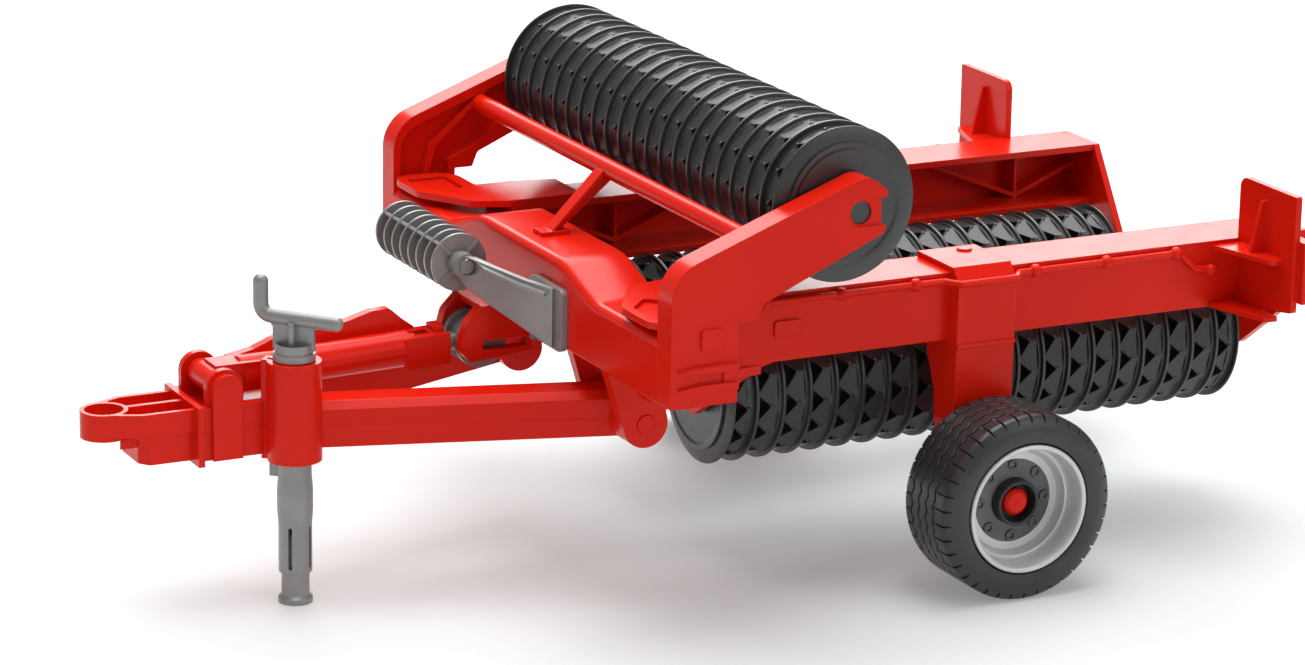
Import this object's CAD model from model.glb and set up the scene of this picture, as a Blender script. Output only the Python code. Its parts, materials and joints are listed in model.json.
import json
import math
import bpy
from mathutils import Matrix, Vector


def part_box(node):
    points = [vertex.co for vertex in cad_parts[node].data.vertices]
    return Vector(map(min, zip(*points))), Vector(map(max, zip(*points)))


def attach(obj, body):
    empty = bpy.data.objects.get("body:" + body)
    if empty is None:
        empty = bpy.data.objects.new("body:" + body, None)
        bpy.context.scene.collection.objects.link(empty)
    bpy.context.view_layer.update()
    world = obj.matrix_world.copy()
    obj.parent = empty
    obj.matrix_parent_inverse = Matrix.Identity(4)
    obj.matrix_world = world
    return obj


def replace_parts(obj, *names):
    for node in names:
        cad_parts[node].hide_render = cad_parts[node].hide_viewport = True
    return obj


# A folding ring roller scale model: moulded red plastic frame, charcoal ring rollers and tyres.
# +X points forward to the hitch, +Y to the machine's left, +Z up, in metres.

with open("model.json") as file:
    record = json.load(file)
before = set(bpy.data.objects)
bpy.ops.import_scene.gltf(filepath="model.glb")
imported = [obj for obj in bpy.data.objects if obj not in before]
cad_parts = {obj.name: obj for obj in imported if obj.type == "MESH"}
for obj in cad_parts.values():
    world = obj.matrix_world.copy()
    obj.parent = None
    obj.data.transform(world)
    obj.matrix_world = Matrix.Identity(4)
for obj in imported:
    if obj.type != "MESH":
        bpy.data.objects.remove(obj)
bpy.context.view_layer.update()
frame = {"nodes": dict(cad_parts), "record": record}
scene = bpy.context.scene
MM = 0.001
SIDES = ("left", "right")
UP = Vector((0, 0, 1))


# ---------------------------------------------------------------- node-tree helpers
def node_tree(name):
    """A new material, with its tree, its shader and the object's own coordinates."""
    material = bpy.data.materials.new(name)
    material.use_nodes = True
    tree = material.node_tree
    shader = tree.nodes["Principled BSDF"]
    place = tree.nodes.new("ShaderNodeTexCoord").outputs["Object"]
    return material, tree, shader, place


def noise(tree, place, size, detail=3.0):
    """Noise whose features are about size millimetres across."""
    texture = tree.nodes.new("ShaderNodeTexNoise")
    texture.inputs["Scale"].default_value = 1 / (size * MM)
    texture.inputs["Detail"].default_value = detail
    tree.links.new(place, texture.inputs["Vector"])
    return texture.outputs["Fac"]


def ranged(tree, value, low, high, start=0.3, end=0.7):
    """The value carried from start..end to low..high."""
    node = tree.nodes.new("ShaderNodeMapRange")
    node.inputs["From Min"].default_value = start
    node.inputs["From Max"].default_value = end
    node.inputs["To Min"].default_value = low
    node.inputs["To Max"].default_value = high
    tree.links.new(value, node.inputs["Value"])
    return node.outputs["Result"]


def two_tone(tree, value, dark, light):
    """A colour between two, chosen by the value."""
    ramp = tree.nodes.new("ShaderNodeValToRGB")
    ramp.color_ramp.elements[0].position = 0.3
    ramp.color_ramp.elements[0].color = (*dark, 1)
    ramp.color_ramp.elements[1].position = 0.7
    ramp.color_ramp.elements[1].color = (*light, 1)
    tree.links.new(value, ramp.inputs["Fac"])
    return ramp.outputs["Color"]


def bumped(tree, shader, height, strength, distance, rounding):
    """Fine surface relief over softened edges. Distance and rounding are in millimetres."""
    bump = tree.nodes.new("ShaderNodeBump")
    bump.inputs["Strength"].default_value = strength
    bump.inputs["Distance"].default_value = distance * MM
    tree.links.new(height, bump.inputs["Height"])
    soft = tree.nodes.new("ShaderNodeBevel")
    soft.samples = 6
    soft.inputs["Radius"].default_value = rounding * MM
    tree.links.new(soft.outputs["Normal"], bump.inputs["Normal"])
    tree.links.new(bump.outputs["Normal"], shader.inputs["Normal"])


# ---------------------------------------------------------------- materials
def moulded_red():
    """Glossy orange-red plastic, faintly uneven where it flowed in the mould."""
    material, tree, shader, place = node_tree("red_plastic")
    flow = noise(tree, place, 40, 2.0)
    colour = two_tone(tree, flow, (0.66, 0.0110, 0.0026), (0.70, 0.0135, 0.0034))
    tree.links.new(colour, shader.inputs["Base Color"])
    tree.links.new(ranged(tree, noise(tree, place, 9), 0.21, 0.26), shader.inputs["Roughness"])
    shader.inputs["Specular IOR Level"].default_value = 0.15
    bumped(tree, shader, noise(tree, place, 2.5, 2.0), 0.05, 0.03, 0.45)
    return material


def satin_grey(name, dark, light, rough_low, rough_high, metal):
    """Grey plastic with a fine even texture."""
    material, tree, shader, place = node_tree(name)
    colour = two_tone(tree, noise(tree, place, 12), dark, light)
    tree.links.new(colour, shader.inputs["Base Color"])
    tree.links.new(ranged(tree, noise(tree, place, 1.8), rough_low, rough_high), shader.inputs["Roughness"])
    shader.inputs["Metallic"].default_value = metal
    bumped(tree, shader, noise(tree, place, 0.7, 5.0), 0.10, 0.10, 0.35)
    return material


def grained_charcoal():
    """Dark plastic with a fine cast grain."""
    material, tree, shader, place = node_tree("charcoal_plastic")
    speckle = noise(tree, place, 0.55, 6.0)
    colour = two_tone(tree, speckle, (0.005, 0.005, 0.006), (0.026, 0.027, 0.028))
    tree.links.new(colour, shader.inputs["Base Color"])
    tree.links.new(ranged(tree, noise(tree, place, 1.2, 4.0), 0.33, 0.42), shader.inputs["Roughness"])
    shader.inputs["Specular IOR Level"].default_value = 0.75
    bumped(tree, shader, noise(tree, place, 0.55, 4.0), 0.45, 0.10, 0.25)
    return material


def tyre_rubber():
    """Dark moulded tyre plastic, satin on the tread and finely brushed on the wall."""
    material, tree, shader, place = node_tree("tyre_rubber")
    colour = two_tone(tree, noise(tree, place, 9), (0.020, 0.020, 0.021), (0.032, 0.032, 0.034))
    tree.links.new(colour, shader.inputs["Base Color"])
    tree.links.new(ranged(tree, noise(tree, place, 1.5), 0.32, 0.40), shader.inputs["Roughness"])
    bumped(tree, shader, noise(tree, place, 0.6, 4.0), 0.14, 0.08, 0.20)
    return material


def bright_silver():
    """Silver-painted plastic of the rims."""
    material, tree, shader, place = node_tree("silver_plastic")
    colour = two_tone(tree, noise(tree, place, 7), (0.62, 0.62, 0.62), (0.66, 0.66, 0.66))
    tree.links.new(colour, shader.inputs["Base Color"])
    tree.links.new(ranged(tree, noise(tree, place, 6.0), 0.38, 0.43), shader.inputs["Roughness"])
    shader.inputs["Metallic"].default_value = 0.45
    bumped(tree, shader, noise(tree, place, 4.0, 1.0), 0.01, 0.02, 0.06)
    return material


def plain_black():
    """Black plastic of the axle ends and hubs."""
    material, tree, shader, place = node_tree("black_plastic")
    colour = two_tone(tree, noise(tree, place, 4), (0.012, 0.012, 0.013), (0.024, 0.024, 0.025))
    tree.links.new(colour, shader.inputs["Base Color"])
    tree.links.new(ranged(tree, noise(tree, place, 1.2), 0.32, 0.46), shader.inputs["Roughness"])
    bumped(tree, shader, noise(tree, place, 0.8, 4.0), 0.12, 0.08, 0.3)
    return material


finishes = {
    "red_plastic": moulded_red(),
    "grey_plastic": satin_grey("grey_plastic", (0.25, 0.25, 0.245), (0.29, 0.29, 0.285), 0.32, 0.42, 0.35),
    "disc_grey": satin_grey("disc_grey", (0.10, 0.10, 0.10), (0.14, 0.14, 0.14), 0.30, 0.38, 0.35),
    "charcoal_plastic": grained_charcoal(),
    "tyre_rubber": tyre_rubber(),
    "silver_plastic": bright_silver(),
    "black_plastic": plain_black(),
}

for part in frame["record"]["subparts"]:
    shown = frame["nodes"][part["node"]]
    shown.data.materials.clear()
    shown.data.materials.append(finishes[part["material_slot"]])


# ---------------------------------------------------------------- mesh helpers
def add_piece(name, body, slot, corners, faces, sharp_degrees=30):
    """A mesh piece in its finish, smooth between its sharp edges, riding on a body."""
    mesh = bpy.data.meshes.new(name)
    mesh.from_pydata([tuple(corner) for corner in corners], [], faces)
    mesh.materials.append(finishes[slot])
    mesh.polygons.foreach_set("use_smooth", [True] * len(mesh.polygons))
    mesh.set_sharp_from_angle(angle=math.radians(sharp_degrees))
    piece = bpy.data.objects.new(name, mesh)
    scene.collection.objects.link(piece)
    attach(piece, body)
    return piece


def ring_faces(turns, row, closed_row=False, first=0):
    """Quads that join each row of points to the next one round the axis."""
    faces = []
    steps = row if closed_row else row - 1
    for turn in range(turns):
        here = first + turn * row
        there = first + (turn + 1) % turns * row
        for step in range(steps):
            after = (step + 1) % row
            faces.append((here + step, here + after, there + after, there + step))
    return faces


class Spindle:
    """An axis in space, for pieces made by going round it."""

    def __init__(self, start, along, side):
        self.start = Vector(start)
        self.along = Vector(along)
        self.side = Vector(side)

    def point(self, angle, radius, distance):
        """The point at an angle from the side direction towards +Z, a radius and a distance along."""
        out = self.side * math.cos(angle) + UP * math.sin(angle)
        return self.start + out * radius + self.along * distance


# ---------------------------------------------------------------- ring rollers
RING_GAPS = 20
TEETH = 14                      # pockets round each ring
STRUT_SHARE = 0.39              # share of a tooth taken by the short upper side of its pocket
POCKET_REACH = 5.4 * MM         # how far a pocket cuts in from its ring
CHANNEL = 1.15 * MM             # and how wide the channel between two pockets is
POCKET_DEPTH = 4.4 * MM
RIM_HALF = 0.42 * MM
END_RIM = 1.5 * MM              # the wider rim at either end of the roller
RING_GROOVE = 1.1 * MM          # width and depth of the groove beside a rim
RING_GROOVE_DEPTH = 1.15 * MM
END_GROOVE = 2.4 * MM           # and of the wider one in the first and last gaps
END_GROOVE_DEPTH = 1.7 * MM
LAST_POCKET_BACK = 1.1 * MM     # how far the last pockets stand back from the wider rim
BAND_START = 0.9 * MM           # how far below the rim the band begins
BAND_FALL = 1.7 * MM            # and how much it falls by the next ring
END_BEVEL = 2.9 * MM
ROLLER_BORE = 3.6 * MM
KNOB_SIZE = 0.75 * MM
KNOB_BACK = 0.3 * MM            # how far a knob sits behind its pocket's apex
TOOTH_STEPS = (0.0, 0.13, 0.26, STRUT_SHARE, 0.51, 0.63, 0.76, 0.88)


def pocket_opening(phase):
    """How open a pocket is: one at its apex, falling to nothing at either end of the tooth."""
    if phase < STRUT_SHARE:
        return 1 - phase / STRUT_SHARE
    return (phase - STRUT_SHARE) / (1 - STRUT_SHARE)


def facet_drop(phase, radius):
    """How far a flat facet lies inside the circle through its two edges."""
    half = math.pi / TEETH
    return radius * (1 - math.cos(half) / math.cos((phase - 0.5) * 2 * half))


def ring_line(phase, radius, pitch, bore):
    """Radius and distance of each point along the roller, at one place in a tooth."""
    opening = pocket_opening(phase)
    reach = CHANNEL + opening * (POCKET_REACH - CHANNEL)
    line = [(bore, 0), (radius - END_BEVEL, 0), (radius, 1.0 * MM)]
    for gap in range(RING_GAPS):
        start = gap * pitch
        first = gap == 0
        last = gap == RING_GAPS - 1
        groove = END_GROOVE if first or last else RING_GROOVE
        groove_depth = END_GROOVE_DEPTH if first or last else RING_GROOVE_DEPTH
        rim_edge = start + (END_RIM if first else RIM_HALF)
        next_rim = start + pitch - (END_RIM if last else RIM_HALF)
        brink = start + pitch - reach - (LAST_POCKET_BACK if last else 0)

        def band(distance):
            share = (distance - start) / pitch
            return radius - BAND_START - BAND_FALL * share - facet_drop(phase, radius)

        floor = band(brink) - POCKET_DEPTH
        line += [
            (radius, rim_edge),
            (radius - 0.25 * MM, rim_edge + 0.14 * MM),
            (radius - groove_depth, rim_edge + 0.25 * MM),
            (radius - groove_depth, rim_edge + groove),
            (band(rim_edge + groove + 0.25 * MM), rim_edge + groove + 0.25 * MM),
            (band(brink - 0.55 * MM), brink - 0.55 * MM),
            (band(brink) + 0.28 * MM, brink - 0.35 * MM),
            (band(brink) + 0.22 * MM, brink),
            (floor, brink + 0.10 * MM),
            (floor, next_rim - 0.22 * MM),
            (radius - 0.25 * MM, next_rim - 0.10 * MM),
            (radius, next_rim),
        ]
    length = RING_GAPS * pitch
    line += [(radius, length - 1.0 * MM), (radius - END_BEVEL, length), (bore, length)]
    return line


def knob(spindle, angle, radius, distance, corners, faces):
    """A small rounded lump where a pocket's two sides meet."""
    size = KNOB_SIZE
    first = len(corners)
    rings = ((1.0, -0.6), (0.95, 0.1), (0.6, 0.42))
    around = 8
    for spread, lift in rings:
        for step in range(around):
            turn = 2 * math.pi * step / around
            run = distance + spread * size * math.cos(turn)
            swing = angle + spread * size * math.sin(turn) / radius
            corners.append(spindle.point(swing, radius + lift * size, run))
    corners.append(spindle.point(angle, radius + 0.55 * size, distance))
    top = len(corners) - 1
    for level in range(len(rings) - 1):
        for step in range(around):
            low = first + level * around
            after = (step + 1) % around
            faces.append((low + step, low + after, low + around + after, low + around + step))
    last = first + (len(rings) - 1) * around
    for step in range(around):
        faces.append((last + step, last + (step + 1) % around, top))


def ring_roller(node, body, along, side, first_tooth):
    """One ring roller in place of its plain CAD rings."""
    low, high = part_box(node)
    middle = (low + high) / 2
    along = Vector(along)
    length = (high - low).dot(along)
    radius = (high.z - low.z) / 2
    spindle = Spindle(middle - along * length / 2, along, side)
    pitch = length / RING_GAPS
    corners = []
    for tooth in range(TEETH):
        for phase in TOOTH_STEPS:
            angle = math.radians(first_tooth) + (tooth + phase) * 2 * math.pi / TEETH
            for reach, run in ring_line(phase, radius, pitch, ROLLER_BORE):
                corners.append(spindle.point(angle, reach, run))
    turns = TEETH * len(TOOTH_STEPS)
    faces = ring_faces(turns, len(corners) // turns, closed_row=True)
    for tooth in range(TEETH):
        angle = math.radians(first_tooth) + tooth * 2 * math.pi / TEETH
        for gap in range(RING_GAPS):
            set_back = LAST_POCKET_BACK if gap == RING_GAPS - 1 else 0
            run = (gap + 1) * pitch - POCKET_REACH - KNOB_BACK - set_back
            lump = radius - BAND_START - BAND_FALL * (run / pitch - gap)
            knob(spindle, angle, lump, run, corners, faces)
    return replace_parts(add_piece(node + "_cast", body, "charcoal_plastic", corners, faces, 20), node)


ring_roller("centre_roller_rings", "centre_roller", (0, 1, 0), (1, 0, 0), 3.5)
ring_roller("left_wing_roller_rings", "left_roller", (1, 0, 0), (0, 1, 0), -4.0)
ring_roller("right_wing_roller_rings", "right_roller", (1, 0, 0), (0, -1, 0), -4.0)


# ---------------------------------------------------------------- wheels
ZIGZAGS = 38                    # zigzag periods round the tread
ZIGZAG_REACH = 0.62 * MM
TREAD_GROOVES = (0.27, 0.42, 0.57, 0.72)    # places across the tyre, as shares of its width
GROOVE_HALF = 0.34 * MM
GROOVE_LIP = 0.22 * MM          # the sloping edge either side of a groove
GROOVE_DEPTH = 1.0 * MM
SIPE_STEPS = (0.0, 0.12, 0.25, 0.38, 0.44, 0.46, 0.58, 0.60, 0.75, 0.88)


def tread_line(phase, radius, width):
    """Radius and distance from the tyre's inner wall to its outer wall, at one place in a zigzag."""
    sway = ZIGZAG_REACH * (4 * abs(phase - 0.5) - 1)
    cut = 0.45 < phase < 0.59
    notch = 1.1 * MM if cut else 0.0
    sipe = 0.55 * MM if cut else 0.0
    line = [
        (19.2 * MM, 2.6 * MM), (20.6 * MM, 0.9 * MM), (22.0 * MM, 0.25 * MM),
        (24.5 * MM, 0), (26.3 * MM, 0.35 * MM), (27.6 * MM, 1.2 * MM),
        (radius - 1.1 * MM - notch, 2.6 * MM), (radius - 0.35 * MM - notch, 3.5 * MM),
        (radius - sipe, 4.6 * MM), (radius - sipe, 5.6 * MM),
    ]
    for share in TREAD_GROOVES:
        middle = share * width + sway
        line += [
            (radius, middle - GROOVE_HALF - GROOVE_LIP),
            (radius - GROOVE_LIP, middle - GROOVE_HALF),
            (radius - GROOVE_DEPTH, middle - GROOVE_HALF),
            (radius - GROOVE_DEPTH, middle + GROOVE_HALF),
            (radius - GROOVE_LIP, middle + GROOVE_HALF),
            (radius, middle + GROOVE_HALF + GROOVE_LIP),
        ]
    line += [
        (radius - sipe, width - 6.2 * MM), (radius - sipe, width - 3.4 * MM),
        (radius - notch, width - 3.1 * MM),
        (radius - 0.3 * MM - notch, width - 2.1 * MM), (radius - 1.0 * MM - notch, width - 1.4 * MM),
        (radius - 2.2 * MM, width - 0.9 * MM), (26.4 * MM, width - 0.4 * MM), (24.8 * MM, width),
        (22.2 * MM, width - 0.2 * MM), (21.4 * MM, width - 0.5 * MM), (20.95 * MM, width - 1.1 * MM),
        (20.8 * MM, width - 2.2 * MM), (19.2 * MM, width - 2.6 * MM),
    ]
    return line


def wheel_spindle(side):
    """The wheel's axis, from the tyre's inner wall towards its outer wall."""
    low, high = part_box(side + "_tyre")
    out = 1 if side == "left" else -1
    inner = low.y if side == "left" else high.y
    start = ((low.x + high.x) / 2, inner, (low.z + high.z) / 2)
    return Spindle(start, (0, out, 0), (1, 0, 0)), (high.z - low.z) / 2, high.y - low.y


def tyre(side):
    """A tyre with zigzag grooves and a cut shoulder."""
    spindle, radius, width = wheel_spindle(side)
    corners = []
    for period in range(ZIGZAGS):
        for phase in SIPE_STEPS:
            angle = (period + phase) * 2 * math.pi / ZIGZAGS
            for reach, run in tread_line(phase, radius, width):
                corners.append(spindle.point(angle, reach, run))
    turns = ZIGZAGS * len(SIPE_STEPS)
    faces = ring_faces(turns, len(corners) // turns, closed_row=True)
    piece = add_piece(side + "_tyre_tread", side + "_wheel", "tyre_rubber", corners, faces, 32)
    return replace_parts(piece, side + "_tyre")


def lathed(spindle, line, around, corners, faces):
    """Points and faces of a turned solid from (radius, distance) points."""
    first = len(corners)
    for turn in range(around):
        for reach, run in line:
            corners.append(spindle.point(2 * math.pi * turn / around, reach, run))
    faces += ring_faces(around, len(line), closed_row=True, first=first)


BOLTS = 8
BOLT_CIRCLE = 11.6 * MM
DISC_DEPTH = 10.4 * MM


def bolt_ring(spindle, angle, face, corners, faces):
    """A low raised ring round one bolt place on the rim's disc."""
    centre = spindle.point(angle, BOLT_CIRCLE, face)
    small = Spindle(centre, spindle.along, spindle.side)
    ring = [
        (1.0 * MM, -0.1 * MM), (1.0 * MM, 0.45 * MM), (1.2 * MM, 0.6 * MM),
        (1.6 * MM, 0.6 * MM), (1.75 * MM, 0.45 * MM), (1.75 * MM, -0.1 * MM),
    ]
    lathed(small, ring, 20, corners, faces)


def wheel_rim(side):
    """A deep stepped rim in bright silver."""
    spindle, _, width = wheel_spindle(side)
    line = [
        (13.5 * MM, 6.0 * MM), (17.0 * MM, 6.0 * MM), (17.0 * MM, 2.0 * MM), (19.0 * MM, 1.6 * MM),
        (19.1 * MM, width - 2.7 * MM), (20.3 * MM, width - 1.9 * MM), (20.7 * MM, width - 0.9 * MM),
        (20.6 * MM, width - 0.3 * MM), (20.2 * MM, width - 0.05 * MM), (19.6 * MM, width - 0.05 * MM),
        (19.2 * MM, width - 0.35 * MM), (18.8 * MM, width - 1.3 * MM), (18.4 * MM, width - 3.6 * MM),
        (18.2 * MM, width - 5.4 * MM), (18.6 * MM, width - 5.7 * MM), (18.6 * MM, width - 6.7 * MM),
        (17.5 * MM, width - 6.8 * MM), (17.0 * MM, width - 7.2 * MM), (16.6 * MM, width - 9.4 * MM),
        (15.9 * MM, width - DISC_DEPTH), (13.5 * MM, width - DISC_DEPTH),
    ]
    corners = []
    faces = []
    lathed(spindle, line, 96, corners, faces)
    return add_piece(side + "_rim_barrel", side + "_wheel", "silver_plastic", corners, faces, 28)


def wheel_disc(side):
    """The grey disc inside the rim, with its bolt rings and its well round the hub."""
    spindle, _, width = wheel_spindle(side)
    face = width - DISC_DEPTH - 0.05 * MM
    line = [
        (2.6 * MM, 7.0 * MM), (16.0 * MM, 7.0 * MM), (16.0 * MM, face), (14.4 * MM, face),
        (13.9 * MM, face - 0.4 * MM), (8.2 * MM, face - 0.4 * MM), (7.6 * MM, face - 0.1 * MM),
        (7.4 * MM, face - 0.1 * MM), (7.4 * MM, width - 14.8 * MM), (2.6 * MM, width - 14.8 * MM),
    ]
    corners = []
    faces = []
    lathed(spindle, line, 96, corners, faces)
    for bolt in range(BOLTS):
        bolt_ring(spindle, 2 * math.pi * bolt / BOLTS, face - 0.4 * MM, corners, faces)
    disc = add_piece(side + "_rim_disc", side + "_wheel", "grey_plastic", corners, faces, 28)
    disc.data.materials[0] = finishes["disc_grey"]
    return disc


def hub_tube(side):
    """The dark open tube round the hub cap, standing proud of the disc."""
    spindle, _, width = wheel_spindle(side)
    line = [
        (2.6 * MM, width - 14.6 * MM), (7.3 * MM, width - 14.6 * MM), (7.3 * MM, width - 6.9 * MM),
        (7.0 * MM, width - 6.5 * MM), (6.4 * MM, width - 6.5 * MM), (6.1 * MM, width - 6.8 * MM),
        (5.9 * MM, width - 11.4 * MM), (2.6 * MM, width - 11.4 * MM),
    ]
    corners = []
    faces = []
    lathed(spindle, line, 72, corners, faces)
    return add_piece(side + "_hub_tube", side + "_wheel", "black_plastic", corners, faces, 28)


for wheel_side in SIDES:
    tyre(wheel_side)
    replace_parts(wheel_rim(wheel_side), wheel_side + "_rim")
    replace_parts(wheel_disc(wheel_side), wheel_side + "_rim")
    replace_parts(hub_tube(wheel_side), wheel_side + "_wheel_hub")


# ---------------------------------------------------------------- studio
def studio_floor():
    """A large pale floor."""
    half = 6.0
    mesh = bpy.data.meshes.new("studio_floor")
    corners = [(-half, -half, 0), (half, -half, 0), (half, half, 0), (-half, half, 0)]
    mesh.from_pydata(corners, [], [(0, 1, 2, 3)])
    material, tree, shader, place = node_tree("studio_floor")
    colour = two_tone(tree, noise(tree, place, 400), (0.565, 0.590, 0.590), (0.585, 0.610, 0.610))
    tree.links.new(colour, shader.inputs["Base Color"])
    shader.inputs["Emission Color"].default_value = (1, 1, 1, 1)
    shader.inputs["Emission Strength"].default_value = 0.22
    shader.inputs["Roughness"].default_value = 0.9
    shader.inputs["Specular IOR Level"].default_value = 0.1
    mesh.materials.append(material)
    floor = bpy.data.objects.new("studio_floor", mesh)
    scene.collection.objects.link(floor)


def soft_light(name, place, target, size, power):
    """A square soft box at a place, facing a target."""
    data = bpy.data.lights.new(name, "AREA")
    data.shape = "SQUARE"
    data.size = size
    data.energy = power
    lamp = bpy.data.objects.new(name, data)
    lamp.location = place
    lamp.rotation_euler = (Vector(target) - Vector(place)).to_track_quat("-Z", "Y").to_euler()
    scene.collection.objects.link(lamp)


def surroundings(horizon, zenith):
    """Pale light from all round, a little dimmer near the horizon."""
    world = bpy.data.worlds.new("studio")
    world.use_nodes = True
    tree = world.node_tree
    background = tree.nodes["Background"]
    background.inputs["Color"].default_value = (1, 1, 1, 1)
    direction = tree.nodes.new("ShaderNodeTexCoord").outputs["Generated"]
    height = tree.nodes.new("ShaderNodeSeparateXYZ")
    tree.links.new(direction, height.inputs["Vector"])
    strength = ranged(tree, height.outputs["Z"], horizon, zenith, 0.25, 0.75)
    tree.links.new(strength, background.inputs["Strength"])
    scene.world = world


studio_floor()
surroundings(0.36, 0.46)
soft_light("overhead", (0.05, -0.10, 1.5), target=(0, 0, 0), size=1.2, power=22)
soft_light("high_back", (-0.60, -1.20, 1.00), target=(0, 0, 0.05), size=1.4, power=26)
soft_light("side_fill", (-1.1, 1.7, 1.0), target=(-0.10, 0.1, 0.05), size=1.2, power=7)
scene.view_settings.view_transform = "Standard"


# ---------------------------------------------------------------- camera
CAMERA_AZIMUTH = math.radians(26.843)
CAMERA_ELEVATION = math.radians(16.083)
CAMERA_ROLL = math.radians(0.981)
CAMERA_DISTANCE = 1.43416
CAMERA_TARGET = Vector((0.00337, 0.0, 0.06685))
LENS = 123.3


def add_camera():
    """The camera, set back from its target along its line of sight."""
    out = Vector((
        math.sin(CAMERA_AZIMUTH) * math.cos(CAMERA_ELEVATION),
        math.cos(CAMERA_AZIMUTH) * math.cos(CAMERA_ELEVATION),
        math.sin(CAMERA_ELEVATION),
    ))
    right = (-out).cross(UP).normalized()
    above = right.cross(-out)
    rolled_right = right * math.cos(CAMERA_ROLL) + above * math.sin(CAMERA_ROLL)
    rolled_above = above * math.cos(CAMERA_ROLL) - right * math.sin(CAMERA_ROLL)
    data = bpy.data.cameras.new("camera")
    data.lens = LENS
    data.sensor_width = 36.0
    camera = bpy.data.objects.new("camera", data)
    scene.collection.objects.link(camera)
    turn = Matrix((rolled_right, rolled_above, out)).transposed()
    camera.matrix_world = Matrix.Translation(CAMERA_TARGET + out * CAMERA_DISTANCE) @ turn.to_4x4()
    scene.camera = camera


add_camera()
